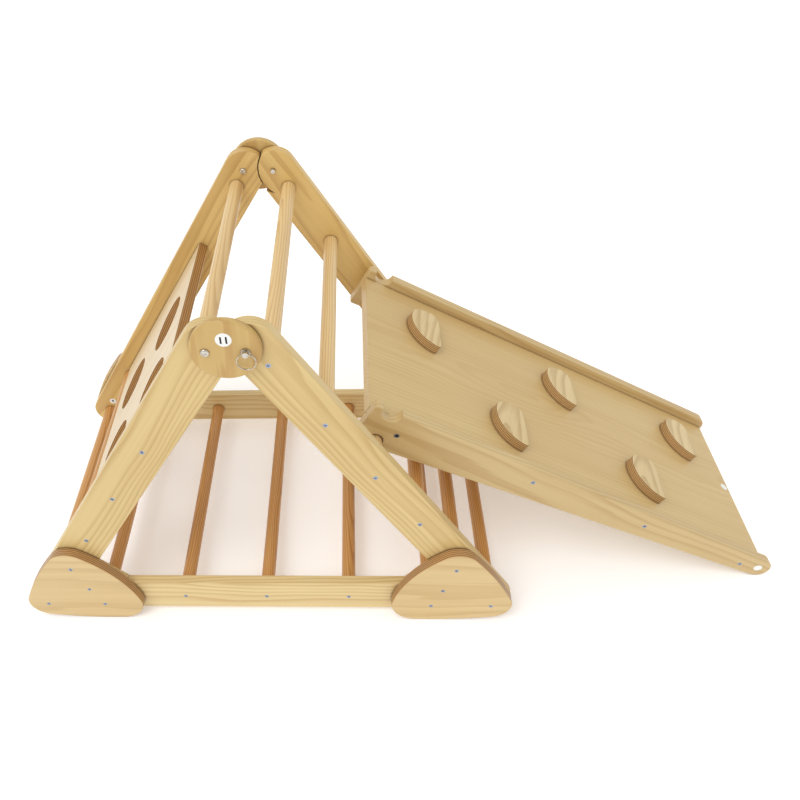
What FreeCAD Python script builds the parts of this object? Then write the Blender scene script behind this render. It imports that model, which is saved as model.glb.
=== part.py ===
"""Climbing triangle with a hook-on ramp for toddlers, as a parametric document in millimetres.

The triangle stands on four gussets, with its base rungs level and its apex over the middle of the
base. The ramp hooks over the third rung of the right-hand ladder and rests on the floor.
Heights in this file are measured from the floor, and sideways places from the apex, until
place_standing and place_leaning shift them so that the whole object is centred on the origin.
"""
import FreeCAD, Part
import math
import os

import Sketcher
from FreeCAD import Placement, Rotation, Vector

DIMENSIONS = {
    "board_thickness": 18,
    "board_width": 76,
    "inner_width": 481,
    "edge_round": 2,
    "rung_diameter": 25,
    "socket_depth": 8,
    "base_height": 45,
    "foot_spread": 403,
    "leg_top_offset": 27.2,
    "pin_height": 635.8,
    "pin_spacing": 54.4,
    "pin_shift": -4,
    "apex_shift": -244.95,
    "cheek_radius": 48.75,
    "cheek_height": 637.5,
    "cheek_thickness": 12,
    "apex_label_rise": 19,
    "nest_offset": 50,
    "nest_height": 637,
    "nest_radius": 53,
    "nest_gap": 2,
    "nest_overrun": 7,
    "foot_block_top": 94,
    "foot_block_reach": 80,
    "rail_lift": 3,
    "rail_gap": 0.3,
    "bolt_diameter": 6,
    "bolt_head_diameter": 12.6,
    "bolt_head_height": 3.4,
    "pin_diameter": 8,
    "pin_play": 0.05,
    "pin_flange_height": 2,
    "pin_head_diameter": 9,
    "pin_head_height": 8,
    "pin_tip": 6,
    "eye_diameter": 4,
    "ring_radius": 13,
    "ring_wire_diameter": 2,
    "screw_head_diameter": 8,
    "screw_head_height": 3.2,
    "screw_diameter": 4,
    "screw_length": 34,
    "gusset_screw_length": 50,
    "pilot_depth": 26,
    "climb_panel_low": 145,
    "climb_panel_high": 521,
    "hand_hole_diameter": 110,
    "hand_hole_side": 88,
    "hand_hole_low": 252,
    "hand_hole_high": 428,
    "ramp_angle": 29.43,
    "ramp_near": 178.5,
    "ramp_far": 214.5,
    "ramp_upper_end": 35,
    "ramp_lower_end": 815,
    "ramp_rail_top": 67.7,
    "ramp_rail_base": 15.85,
    "ramp_rail_taper": 0.0514,
    "ramp_panel_top": 48.7,
    "ramp_panel_end": 810,
    "ramp_panel_bevel": 8,
    "hook_diameter": 27,
    "top_notch_width": 34.4,
    "top_notch_depth": 18.8,
    "top_notch_place": -3.8,
    "finger_round": 6,
    "bushing_diameter": 10,
    "bushing_bore": 6,
    "bushing_along": 26.3,
    "bushing_above": 26.4,
    "hold_thickness": 18,
    "label_diameter": 22,
    "small_label_diameter": 15,
    "label_thickness": 0.3,
}

doc = FreeCAD.newDocument("climbing_triangle")
sheet = doc.addObject("Spreadsheet::Sheet", "Sizes")
for row, (alias, value) in enumerate(DIMENSIONS.items(), start=1):
    sheet.set(f"A{row}", alias)
    sheet.set(f"B{row}", str(value))
    sheet.setAlias(f"B{row}", alias)
doc.recompute()
size = {alias: float(sheet.get(alias)) for alias in DIMENSIONS}

THICK = size["board_thickness"]
HALF_BOARD = size["board_width"] / 2
INNER = size["inner_width"] / 2
OUTER = INNER + THICK
PLATE_FACE = OUTER + THICK
CHEEK_FACE = OUTER + size["cheek_thickness"]
BOLT_X = size["pin_shift"] - size["pin_spacing"] / 2
PIN_X = size["pin_shift"] + size["pin_spacing"] / 2
BASE = size["base_height"]
RUNG_RADIUS = size["rung_diameter"] / 2
LEG_RISE = size["pin_height"] - BASE
LEG_RUN = size["foot_spread"] - size["leg_top_offset"]
LEG_LENGTH = math.hypot(LEG_RUN, LEG_RISE)
LEG_ANGLE = math.degrees(math.atan2(LEG_RISE, LEG_RUN))

# Rung and screw stations, measured up each leg from its foot rung.
LOWER_RUNG = 127.5
RIGHT_RUNGS = {1: 659.2, 2: 522.8, 3: 386.5, 4: 250.1, 5: LOWER_RUNG, 6: 0.0}
LEFT_RUNGS = {"top": 665.9, "lower": LOWER_RUNG, "foot": 0.0}
SCREWED_RUNGS = [RIGHT_RUNGS[number] for number in (1, 2, 3, 4)]
PANEL_SCREWS = (198.0, 328.0, 458.0)
BASE_RUNGS = (-297.0, -150.0, 0.0, 150.0, 297.0)
RAIL_SCREWS = (-150.0, 0.0, 150.0)
FOOT_BLOCK_SCREW = (315.5, BASE + 47)
# Corner circles of a gusset: sideways from the apex, height and radius.
GUSSET_CORNERS = ((402.0, BASE + 2, 38.0), (337.0, BASE + 110, 38.0), (272.0, BASE + 0.35, 45.0))
GUSSET_SIDES = (500.0, 230.0, 700.0)
# Climbing holds on the ramp: along the ramp from the hook, and across the object.
HOLDS = {1: (81.0, 97.0), 2: (392.0, 101.0), 3: (241.0, -75.0), 4: (550.0, -66.0), 5: (699.0, 105.0)}
HOLD_SCREW_SPOTS = ((4.0, -20.0), (4.0, 22.0))
# Corner circles of a hold, from its middle: along the ramp, across the object and radius.
HOLD_CORNERS = ((22.0, -43.0, 6.0), (9.5, 26.5, 20.0), (-7.0, 23.0, 20.0))
HOLD_SIDES = (600.0, 60.0, 57.0)
RAMP_SCREWS = (284.5, 526.0, 753.0)
# Number labels: on the left leg (sideways, height), the ramp rail (along, above), the deck (along, across).
LEG_LABEL = (-393.4, BASE + 27.3)
RAIL_LABEL = (790.6, 46.8)
DECK_LABEL = (798.7, 19.0)

pieces = []


def leg_point(station, side):
    """Sideways place and height of a station on the leg axis; side is -1 left or 1 right."""
    angle = math.radians(LEG_ANGLE)
    return side * (size["foot_spread"] - station * math.cos(angle)), BASE + station * math.sin(angle)


HOOK_X, HOOK_Z = leg_point(RIGHT_RUNGS[3], 1)


def ramp_point(along, above):
    """Sideways place and height of a point of the ramp, from the centre of the rung it hooks on."""
    angle = math.radians(size["ramp_angle"])
    x = HOOK_X + along * math.cos(angle) + above * math.sin(angle)
    z = HOOK_Z - along * math.sin(angle) + above * math.cos(angle)
    return x, z


def place_standing(x, y, z, angle=0.0):
    """Placement that stands a drawing upright: its x runs at the angle, its z towards the near side."""
    turn = Rotation(Vector(1, 0, 0), 90) * Rotation(Vector(0, 0, 1), angle)
    return Placement(Vector(size["apex_shift"] + x, y, z), turn)


def place_leaning(x, z, angle):
    """Placement of a panel that slopes down towards +X by the angle, across the whole width."""
    return Placement(Vector(size["apex_shift"] + x, 0, z), Rotation(Vector(0, 1, 0), angle))


def place_across(x, z, y, inward=1):
    """Placement of a round piece whose axis runs along +Y (inward 1) or -Y (inward -1) from y."""
    turn = Rotation(Vector(1, 0, 0), -90 * inward)
    return Placement(Vector(size["apex_shift"] + x, y, z), turn)


def new_body(name, place):
    """Body that becomes a piece of its own."""
    body = doc.addObject("PartDesign::Body", name)
    body.Label = name
    body.Placement = place
    pieces.append(body)
    return body


def add_sketch(body, edges, height, radius=None):
    """Sketch on the body's XY plane at a height formula, with circles held to a radius formula."""
    plane = next(item for item in body.Origin.OriginFeatures if item.Role == "XY_Plane")
    sketch = body.newObject("Sketcher::SketchObject", f"{body.Name}_sketch")
    sketch.AttachmentSupport = (plane, [""])
    sketch.MapMode = "FlatFace"
    sketch.setExpression("AttachmentOffset.Base.z", height)
    for edge in edges:
        index = sketch.addGeometry(edge, False)
        if radius:
            rule = sketch.addConstraint(Sketcher.Constraint("Radius", index, edge.Radius))
            sketch.setExpression(f"Constraints[{rule}]", radius)
    return sketch


def pad(body, edges, length="Sizes.board_thickness", height="0 mm"):
    """Solid of an outline, from a height formula up by a length formula."""
    feature = body.newObject("PartDesign::Pad", f"{body.Name}_pad")
    feature.Profile = add_sketch(body, edges, height)
    feature.setExpression("Length", length)
    doc.recompute()
    return feature


def ease_edges(body, feature, radius="Sizes.edge_round"):
    """Rounds every edge that runs round the two faces of a padded board."""
    box = feature.Shape.BoundBox
    names = []
    for number, edge in enumerate(feature.Shape.Edges, start=1):
        ends = edge.BoundBox
        if ends.ZLength < 1e-6 and min(abs(ends.ZMin - box.ZMin), abs(ends.ZMax - box.ZMax)) < 1e-6:
            names.append(f"Edge{number}")
    fillet = body.newObject("PartDesign::Fillet", f"{body.Name}_edges")
    fillet.Base = (feature, names)
    fillet.setExpression("Radius", radius)
    doc.recompute()
    return fillet


def drill(body, spots, diameter, depth=None, downwards=False, start=None):
    """Round holes of a diameter formula at spots, from a height formula, through or to a depth formula."""
    before = body.Shape.Volume
    circles = [Part.Circle(Vector(x, y, 0), Vector(0, 0, 1), 1.0) for x, y in spots]
    plane = start or ("Sizes.board_thickness" if downwards else "0 mm")
    feature = body.newObject("PartDesign::Pocket", f"{body.Name}_holes")
    feature.Profile = add_sketch(body, circles, plane, f"({diameter}) / 2")
    feature.Type = 0 if depth else 1
    feature.Reversed = not downwards
    if depth:
        feature.setExpression("Length", depth)
    doc.recompute()
    if body.Shape.Volume > before - 1:
        raise RuntimeError(f"{body.Name}: the holes cut nothing")


def line(start, end):
    """Straight edge of an outline."""
    return Part.LineSegment(Vector(*start, 0), Vector(*end, 0))


def arc(start, middle, end):
    """Round edge of an outline through three points."""
    return Part.Arc(Vector(*start, 0), Vector(*middle, 0), Vector(*end, 0))


def polygon(corners):
    """Closed outline of straight edges."""
    return [line(a, b) for a, b in zip(corners, corners[1:] + corners[:1])]


def circle_crossings(centre_a, radius_a, centre_b, radius_b):
    """The two points where circles a and b cross."""
    dx = centre_b[0] - centre_a[0]
    dy = centre_b[1] - centre_a[1]
    gap = math.hypot(dx, dy)
    reach = (radius_a ** 2 - radius_b ** 2 + gap ** 2) / (2 * gap)
    rise = math.sqrt(radius_a ** 2 - reach ** 2)
    foot = (centre_a[0] + dx * reach / gap, centre_a[1] + dy * reach / gap)
    step = (-dy * rise / gap, dx * rise / gap)
    return (foot[0] + step[0], foot[1] + step[1]), (foot[0] - step[0], foot[1] - step[1])


# The two leg ends nest at the apex along one circle, drawn here in a leg's own frame.
def nest_centre(side):
    """Centre of the nesting circle, along and across the leg of that side."""
    angle = math.radians(LEG_ANGLE if side < 0 else 180 - LEG_ANGLE)
    dx = size["nest_offset"] - side * size["foot_spread"]
    dz = size["nest_height"] - BASE
    return (dx * math.cos(angle) + dz * math.sin(angle), dz * math.cos(angle) - dx * math.sin(angle))


def apex_hole(side):
    """Where the bolt or pin crosses the leg of that side, along and across the leg."""
    angle = math.radians(LEG_ANGLE)
    shift = (BOLT_X if side < 0 else PIN_X) - side * size["leg_top_offset"]
    return LEG_LENGTH - side * shift * math.cos(angle), -shift * math.sin(angle)


def leg_outline():
    """Outline of a leg, full-round at the foot and at the apex."""
    half = HALF_BOARD
    return [
        line((0, -half), (LEG_LENGTH, -half)),
        arc((LEG_LENGTH, -half), (LEG_LENGTH + half, 0), (LEG_LENGTH, half)),
        line((LEG_LENGTH, half), (0, half)),
        arc((0, half), (-half, 0), (0, -half)),
    ]


def trim_to_nest(body):
    """Cuts the right leg's round end back to the nesting circle."""
    centre = nest_centre(1)
    radius = size["nest_radius"]
    pin = (LEG_LENGTH, 0.0)
    reach = HALF_BOARD + size["nest_overrun"]
    first, second = circle_crossings(pin, reach, centre, radius)
    feature = body.newObject("PartDesign::Pocket", f"{body.Name}_nest")
    crescent = [
        arc(first, on_circle(centre, radius, first, second), second),
        arc(second, on_circle(pin, reach, first, second), first),
    ]
    feature.Profile = add_sketch(body, crescent, "0 mm")
    feature.Type = 1
    feature.Reversed = True
    doc.recompute()


def on_circle(centre, radius, start, end):
    """Point of a circle midway between two of its points, on their own side of the centre."""
    mid = ((start[0] + end[0]) / 2 - centre[0], (start[1] + end[1]) / 2 - centre[1])
    length = math.hypot(*mid)
    return centre[0] + mid[0] * radius / length, centre[1] + mid[1] * radius / length


def side_base(near):
    """Where a side board's drawing plane lies, and whether its inner face is the far one of the two."""
    return (-INNER, False) if near else (OUTER, True)


def make_leg(name, side, near):
    """Leg of the triangle with its rung sockets, screw holes and apex hole."""
    y, inner_on_top = side_base(near)
    angle = LEG_ANGLE if side < 0 else 180 - LEG_ANGLE
    body = new_body(name, place_standing(side * size["foot_spread"], y, BASE, angle))
    ease_edges(body, pad(body, leg_outline()))
    rungs = (LEFT_RUNGS if side < 0 else RIGHT_RUNGS).values()
    drill(body, [(s, 0) for s in rungs], "Sizes.rung_diameter", "Sizes.socket_depth", inner_on_top)
    screws = PANEL_SCREWS if side < 0 else SCREWED_RUNGS
    drill(body, [(s, 0) for s in (*screws, LOWER_RUNG, 0.0)], "Sizes.screw_diameter")
    drill(body, [(s, 0) for s in screws], "Sizes.screw_head_diameter", "Sizes.screw_head_height",
          not inner_on_top)
    bore = "Sizes.bolt_diameter" if side < 0 else "Sizes.pin_diameter + 2 * Sizes.pin_play"
    drill(body, [apex_hole(side)], bore)
    if side < 0:
        drill(body, [nest_centre(side)], "2 * (Sizes.nest_radius + Sizes.nest_gap)")
    else:
        trim_to_nest(body)


def make_base_rail(name, near):
    """Bottom rail of a side, cut to the slope of the legs it stands between."""
    y, inner_on_top = side_base(near)
    slope = LEG_RUN / LEG_RISE
    half_leg = HALF_BOARD / math.sin(math.radians(LEG_ANGLE)) + size["rail_gap"]
    low = size["rail_lift"] - HALF_BOARD
    high = size["rail_lift"] + HALF_BOARD
    end_low = size["foot_spread"] - half_leg - slope * low
    end_high = size["foot_spread"] - half_leg - slope * high
    outline = polygon([(-end_low, low), (end_low, low), (end_high, high), (-end_high, high)])
    body = new_body(name, place_standing(0, y, BASE))
    ease_edges(body, pad(body, outline))
    drill(body, [(x, 0) for x in BASE_RUNGS], "Sizes.rung_diameter", "Sizes.socket_depth", inner_on_top)
    drill(body, [(x, 0) for x in BASE_RUNGS], "Sizes.screw_diameter")
    drill(body, [(x, 0) for x in RAIL_SCREWS], "Sizes.screw_head_diameter", "Sizes.screw_head_height",
          not inner_on_top)


def make_foot_block(name, side, near):
    """Three-cornered block in the angle between a leg and the top of the base rail."""
    y, _ = side_base(near)
    slope = LEG_RUN / LEG_RISE
    rail_top = size["rail_lift"] + HALF_BOARD + size["rail_gap"]
    block_top = size["foot_block_top"]
    inner_edge = size["foot_spread"] - HALF_BOARD / math.sin(math.radians(LEG_ANGLE)) - size["rail_gap"]
    reach = size["foot_block_reach"]
    corner = inner_edge - slope * rail_top
    corners = [(corner, rail_top), (inner_edge - slope * block_top, block_top), (corner - reach, rail_top)]
    body = new_body(name, place_standing(0, y, BASE))
    pad(body, polygon([(side * x, z) for x, z in corners]))
    drill(body, [(side * FOOT_BLOCK_SCREW[0], FOOT_BLOCK_SCREW[1] - BASE)], "Sizes.screw_diameter")


def rounded_outline(corners, side_radii):
    """Smooth outline round corner circles, anticlockwise, each side a large arc that touches two."""
    sides = []
    for number, (ax, ay, ar) in enumerate(corners):
        bx, by, br = corners[(number + 1) % len(corners)]
        reach = side_radii[number]
        _, middle = circle_crossings((ax, ay), reach - ar, (bx, by), reach - br)
        if (bx - ax) * (middle[1] - ay) - (by - ay) * (middle[0] - ax) < 0:
            middle, _ = circle_crossings((ax, ay), reach - ar, (bx, by), reach - br)
        start = beyond(middle, (ax, ay), ar)
        end = beyond(middle, (bx, by), br)
        sides.append((start, on_circle(middle, reach, start, end), end))
    turns = []
    for number, side in enumerate(sides):
        cx, cy, radius = corners[(number + 1) % len(corners)]
        start = side[2]
        end = sides[(number + 1) % len(sides)][0]
        turns.append((start, on_circle((cx, cy), radius, start, end), end))
    return sides + turns


def beyond(start, centre, distance):
    """Point past a centre, seen from the start, by a distance."""
    gap = math.hypot(centre[0] - start[0], centre[1] - start[1])
    ratio = 1 + distance / gap
    return start[0] + (centre[0] - start[0]) * ratio, start[1] + (centre[1] - start[1]) * ratio


def gusset_outline(side):
    """Rounded triangle of a gusset, turned over for the left-hand side."""
    arcs = rounded_outline(GUSSET_CORNERS, GUSSET_SIDES)
    return [arc(*((side * x, z - BASE) for x, z in points)) for points in arcs]


def gusset_screw_spots(side):
    """Screw spots of a gusset: two rungs of the leg, the last base rung and the foot block."""
    foot = leg_point(0.0, side)
    lower = leg_point(LOWER_RUNG, side)
    base = (side * BASE_RUNGS[-1], BASE)
    block = (side * FOOT_BLOCK_SCREW[0], FOOT_BLOCK_SCREW[1])
    return [foot, lower, base, block]


def make_gusset(name, side, near):
    """Plywood plate that ties a leg to the base rail and stands on the floor."""
    y = -OUTER if near else PLATE_FACE
    body = new_body(name, place_standing(0, y, BASE))
    ease_edges(body, pad(body, gusset_outline(side)))
    spots = [(x, z - BASE) for x, z in gusset_screw_spots(side)]
    drill(body, spots, "Sizes.screw_diameter")
    drill(body, spots, "Sizes.screw_head_diameter", "Sizes.screw_head_height", near)


def make_cheek(name, near):
    """Round cheek that joins the two leg ends at the apex."""
    y = -OUTER if near else CHEEK_FACE
    body = new_body(name, place_standing(size["pin_shift"], y, size["cheek_height"]))
    rim = [Part.Circle(Vector(0, 0, 0), Vector(0, 0, 1), size["cheek_radius"])]
    ease_edges(body, pad(body, rim, "Sizes.cheek_thickness"), "1.5 * Sizes.edge_round")
    drop = size["pin_height"] - size["cheek_height"]
    half = size["pin_spacing"] / 2
    drill(body, [(-half, drop)], "Sizes.bolt_diameter")
    drill(body, [(half, drop)], "Sizes.pin_diameter + 2 * Sizes.pin_play")


def cylinder(name, place, radius, height):
    """Round bar with its sizes held to formulas."""
    bar = doc.addObject("Part::Cylinder", name)
    bar.setExpression("Radius", radius)
    bar.setExpression("Height", height)
    bar.Placement = place
    return bar


def combine(kind, name, base, tool):
    """Cut or fuse of two solids."""
    result = doc.addObject(kind, name)
    result.Base = base
    result.Tool = tool
    return result


def make_rung(name, x, z, drilled=True):
    """Dowel between the two sides, with a pilot hole for the screw at each end."""
    half = INNER + size["socket_depth"]
    length = "Sizes.inner_width + 2 * Sizes.socket_depth"
    if not drilled:
        dowel = cylinder(name, place_across(x, z, -half), "Sizes.rung_diameter / 2", length)
        dowel.Label = name
        pieces.append(dowel)
        return
    dowel = cylinder(f"{name}_dowel", place_across(x, z, -half), "Sizes.rung_diameter / 2", length)
    pilots = doc.addObject("Part::Compound", f"{name}_pilots")
    pilots.Links = [
        cylinder(f"{name}_pilot", place_across(x, z, side * half, -side), "Sizes.screw_diameter / 2",
                 "Sizes.pilot_depth")
        for side in (-1, 1)
    ]
    rung = combine("Part::Cut", name, dowel, pilots)
    rung.Label = name
    pieces.append(rung)


def make_climb_panel(name):
    """Plywood panel between the left legs, with four round hand and foot holes."""
    x, z = leg_point(0.0, -1)
    body = new_body(name, place_leaning(x, z, -LEG_ANGLE))
    low = size["climb_panel_low"]
    high = size["climb_panel_high"]
    outline = polygon([(low, -INNER), (high, -INNER), (high, INNER), (low, INNER)])
    ease_edges(body, pad(body, outline, height="-Sizes.board_thickness / 2"))
    side = size["hand_hole_side"]
    spots = [(s, y) for s in (size["hand_hole_low"], size["hand_hole_high"]) for y in (-side, side)]
    drill(body, spots, "Sizes.hand_hole_diameter", downwards=True)


def ramp_rail_outline():
    """Side rail of the ramp: tapered, with a hook notch below and a spare one above its upper end."""
    upper = -size["ramp_upper_end"]
    top = size["ramp_rail_top"]
    taper = size["ramp_rail_taper"]
    corner = size["finger_round"]
    hook = size["hook_diameter"] / 2
    notch = size["top_notch_place"]
    notch_half = size["top_notch_width"] / 2

    def base(along):
        return taper * along - size["ramp_rail_base"]

    spread = math.hypot(1, taper)
    end_radius = (top - base(size["ramp_lower_end"])) / (spread + 1 - taper)
    centre = (size["ramp_lower_end"] - end_radius, top - end_radius)
    touch = (centre[0] + end_radius * taper / spread, centre[1] - end_radius / spread)
    tip = (size["ramp_lower_end"], centre[1])
    diagonal = corner * (1 - math.sqrt(0.5))
    return [
        arc((upper, top - corner), (upper + diagonal, top - diagonal), (upper + corner, top)),
        line((upper + corner, top), (notch - notch_half, top)),
        arc((notch - notch_half, top), (notch, top - size["top_notch_depth"]), (notch + notch_half, top)),
        line((notch + notch_half, top), (centre[0], top)),
        arc((centre[0], top), tip, touch),
        line(touch, (hook, base(hook))),
        line((hook, base(hook)), (hook, 0)),
        arc((hook, 0), (0, hook), (-hook, 0)),
        line((-hook, 0), (-hook, base(-hook))),
        line((-hook, base(-hook)), (upper + corner, base(upper + corner))),
        arc((upper + corner, base(upper + corner)),
            (upper + diagonal, base(upper) + diagonal), (upper, base(upper) + corner)),
        line((upper, base(upper) + corner), (upper, top - corner)),
    ]


def make_ramp_rail(name, near):
    """Side rail of the ramp with its screw holes and the hole for the bushing."""
    y = -(size["ramp_near"] - THICK) if near else size["ramp_far"]
    body = new_body(name, place_standing(HOOK_X, y, HOOK_Z, -size["ramp_angle"]))
    ease_edges(body, pad(body, ramp_rail_outline()))
    spots = [(t, size["ramp_panel_top"] - THICK / 2) for t in RAMP_SCREWS]
    drill(body, spots, "Sizes.screw_diameter")
    drill(body, spots, "Sizes.screw_head_diameter", "Sizes.screw_head_height", near)
    drill(body, [(size["bushing_along"], size["bushing_above"])], "Sizes.bushing_diameter")


def make_ramp_panel(name):
    """Deck of the ramp, set down between its rails, with its lower end bevelled underneath."""
    body = new_body(name, place_leaning(HOOK_X, HOOK_Z, size["ramp_angle"]))
    low = -(size["ramp_near"] - THICK)
    high = size["ramp_far"] - THICK
    upper = -size["ramp_upper_end"]
    end = size["ramp_panel_end"]
    outline = polygon([(upper, low), (end, low), (end, high), (upper, high)])
    deck = pad(body, outline, height="Sizes.ramp_panel_top - Sizes.board_thickness")
    under = [
        f"Edge{number}" for number, edge in enumerate(deck.Shape.Edges, start=1)
        if edge.BoundBox.XMin > end - 1 and edge.BoundBox.ZMax < size["ramp_panel_top"] - 1
    ]
    bevel = body.newObject("PartDesign::Chamfer", f"{name}_bevel")
    bevel.Base = (deck, under)
    bevel.setExpression("Size", "Sizes.ramp_panel_bevel")
    doc.recompute()
    spots = [(t + dt, y + dy) for t, y in HOLDS.values() for dt, dy in HOLD_SCREW_SPOTS]
    underside = "Sizes.ramp_panel_top - Sizes.board_thickness"
    drill(body, spots, "Sizes.screw_diameter", start=underside)
    drill(body, spots, "Sizes.screw_head_diameter", "Sizes.screw_head_height", start=underside)


def make_hold(name, along, across):
    """Leaf-shaped climbing hold with a pointed near end, screwed on from below."""
    body = new_body(name, place_leaning(HOOK_X, HOOK_Z, size["ramp_angle"]))
    corners = [(along + x, across + y, radius) for x, y, radius in HOLD_CORNERS]
    outline = [arc(*points) for points in rounded_outline(corners, HOLD_SIDES)]
    slab = pad(body, outline, "Sizes.hold_thickness", "Sizes.ramp_panel_top")
    ease_edges(body, slab, "Sizes.edge_round / 2")
    spots = [(along + dt, across + dy) for dt, dy in HOLD_SCREW_SPOTS]
    drill(body, spots, "Sizes.screw_diameter", "Sizes.screw_length - Sizes.board_thickness",
          start="Sizes.ramp_panel_top")


def make_bushing(name, y_outer, inward):
    """Steel lining of the cross hole near the ramp's hook."""
    x, z = ramp_point(size["bushing_along"], size["bushing_above"])
    place = place_across(x, z, y_outer, inward)
    sleeve = cylinder(f"{name}_sleeve", place, "Sizes.bushing_diameter / 2", "Sizes.board_thickness")
    bore = cylinder(f"{name}_bore", place, "Sizes.bushing_bore / 2", "Sizes.board_thickness")
    bushing = combine("Part::Cut", name, sleeve, bore)
    bushing.Label = name
    pieces.append(bushing)


def make_bolt(name, side):
    """Domed bolt that holds the left leg end to the cheek; side is -1 near or 1 far."""
    x, z = BOLT_X, size["pin_height"]
    place = place_across(x, z, side * CHEEK_FACE, side)
    head = cylinder(f"{name}_head", place, "Sizes.bolt_head_diameter / 2", "Sizes.bolt_head_height")
    shank = cylinder(f"{name}_shank", place_across(x, z, side * CHEEK_FACE, -side),
                     "Sizes.bolt_diameter / 2", "Sizes.board_thickness + Sizes.cheek_thickness")
    doc.recompute()
    dome = doc.addObject("Part::Fillet", f"{name}_dome")
    dome.Base = head
    rim = next(n for n, e in enumerate(head.Shape.Edges, start=1)
               if abs(abs(e.BoundBox.Center.y) - CHEEK_FACE) > 1 and e.BoundBox.YLength < 1e-6)
    dome.Edges = [(rim, size["bolt_head_height"] * 0.75, size["bolt_head_height"] * 0.75)]
    bolt = combine("Part::Fuse", name, dome, shank)
    bolt.Label = name
    pieces.append(bolt)


def make_bolt_cap(name, side):
    """Round cap nut on the inner end of the bolt."""
    place = place_across(BOLT_X, size["pin_height"], side * INNER, -side)
    cap = cylinder(f"{name}_body", place, "Sizes.bolt_head_diameter * 0.44", "Sizes.bolt_head_height")
    doc.recompute()
    rim = next(n for n, e in enumerate(cap.Shape.Edges, start=1)
               if abs(abs(e.BoundBox.Center.y) - INNER) > 1 and e.BoundBox.YLength < 1e-6)
    dome = doc.addObject("Part::Fillet", name)
    dome.Base = cap
    dome.Edges = [(rim, size["bolt_head_height"] * 0.6, size["bolt_head_height"] * 0.6)]
    dome.Label = name
    pieces.append(dome)


def make_pull_pin(name, side):
    """Quick-release pin with a flange and an eye for its ring."""
    x, z = PIN_X, size["pin_height"]
    outwards = place_across(x, z, side * CHEEK_FACE, side)
    shaft = cylinder(f"{name}_shaft", place_across(x, z, side * CHEEK_FACE, -side),
                     "Sizes.pin_diameter / 2",
                     "Sizes.board_thickness + Sizes.cheek_thickness + Sizes.pin_tip")
    flange = cylinder(f"{name}_flange", outwards, "Sizes.bolt_head_diameter / 2",
                      "Sizes.pin_flange_height")
    head = cylinder(f"{name}_knob", outwards, "Sizes.pin_head_diameter / 2", "Sizes.pin_head_height")
    bar = doc.addObject("Part::MultiFuse", f"{name}_bar")
    bar.Shapes = [shaft, flange, head]
    eye = cylinder(f"{name}_eye", eye_place(x, z, side), "Sizes.eye_diameter / 2",
                   "Sizes.pin_head_diameter + 2")
    pin = combine("Part::Cut", name, bar, eye)
    pin.Label = name
    pieces.append(pin)


def eye_height():
    """How far the centre of the pin's eye stands out from the cheek."""
    return (size["pin_flange_height"] + size["pin_head_height"]) / 2


def eye_place(x, z, side):
    """Placement of the eye's bore, which runs across the pin along X."""
    start = x - size["pin_head_diameter"] / 2 - 1
    y = side * (CHEEK_FACE + eye_height())
    return Placement(Vector(size["apex_shift"] + start, y, z), Rotation(Vector(0, 1, 0), 90))


def make_pull_ring(name, side):
    """Split ring that hangs from the pin's eye."""
    ring = doc.addObject("Part::Torus", name)
    ring.setExpression("Radius1", "Sizes.ring_radius")
    ring.setExpression("Radius2", "Sizes.ring_wire_diameter / 2")
    y = side * (CHEEK_FACE + eye_height())
    ring.Placement = place_across(PIN_X, size["pin_height"] - size["ring_radius"], y)
    ring.Label = name
    pieces.append(ring)


def screw_template(name, length):
    """Cross-recessed wood screw with its head at the origin and its shank along +Z."""
    head = cylinder(f"{name}_head", Placement(), "Sizes.screw_head_diameter / 2", "Sizes.screw_head_height")
    shank = cylinder(f"{name}_shank", Placement(), "Sizes.screw_diameter / 2", length)
    blank = combine("Part::Fuse", f"{name}_blank", head, shank)
    slots = []
    for turn in (0, 90):
        slot = doc.addObject("Part::Box", f"{name}_slot")
        slot.setExpression("Length", "Sizes.screw_head_diameter * 0.6")
        slot.setExpression("Width", "Sizes.screw_head_diameter * 0.15")
        slot.setExpression("Height", "Sizes.screw_head_height / 2")
        half = Vector(size["screw_head_diameter"] * -0.3, size["screw_head_diameter"] * -0.075, -0.01)
        turning = Rotation(Vector(0, 0, 1), turn)
        slot.Placement = Placement(turning.multVec(half), turning)
        slots.append(slot)
    recess = doc.addObject("Part::MultiFuse", f"{name}_recess")
    recess.Shapes = slots
    screw = combine("Part::Cut", name, blank, recess)
    doc.recompute()
    return screw


def make_screws(name, screw, places):
    """One node of identical screws, each a separate solid."""
    group = doc.addObject("Part::Feature", name)
    solids = []
    for place in places:
        solid = screw.Shape.Solids[0].copy()
        solid.Placement = place
        solids.append(solid)
    group.Shape = Part.makeCompound(solids)
    group.Label = name
    pieces.append(group)


def make_labels(name, discs):
    """One node of thin round number labels, each given by its placement and diameter formula."""
    group = doc.addObject("Part::Compound", name)
    group.Links = [
        cylinder(f"{name}_disc", place, f"({diameter}) / 2", "Sizes.label_thickness")
        for place, diameter in discs
    ]
    group.Label = name
    pieces.append(group)


SIDES = (("near", -1), ("far", 1))
HANDS = (("left", -1), ("right", 1))

for side_name, facing in SIDES:
    is_near = facing < 0
    for hand_name, hand in HANDS:
        make_leg(f"{side_name}_{hand_name}_leg", hand, is_near)
        make_gusset(f"{side_name}_{hand_name}_gusset", hand, is_near)
        make_foot_block(f"{side_name}_{hand_name}_foot_block", hand, is_near)
    make_base_rail(f"{side_name}_base_rail", is_near)
    make_cheek(f"{side_name}_apex_cheek", is_near)
    make_bolt(f"{side_name}_apex_bolt", facing)
    make_bolt_cap(f"{side_name}_bolt_cap", facing)
    make_pull_pin(f"{side_name}_pull_pin", facing)
    make_pull_ring(f"{side_name}_pull_ring", facing)
    make_ramp_rail(f"{side_name}_ramp_rail", is_near)
    make_bushing(f"{side_name}_ramp_bushing", -size["ramp_near"] if is_near else size["ramp_far"], -facing)

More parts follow.
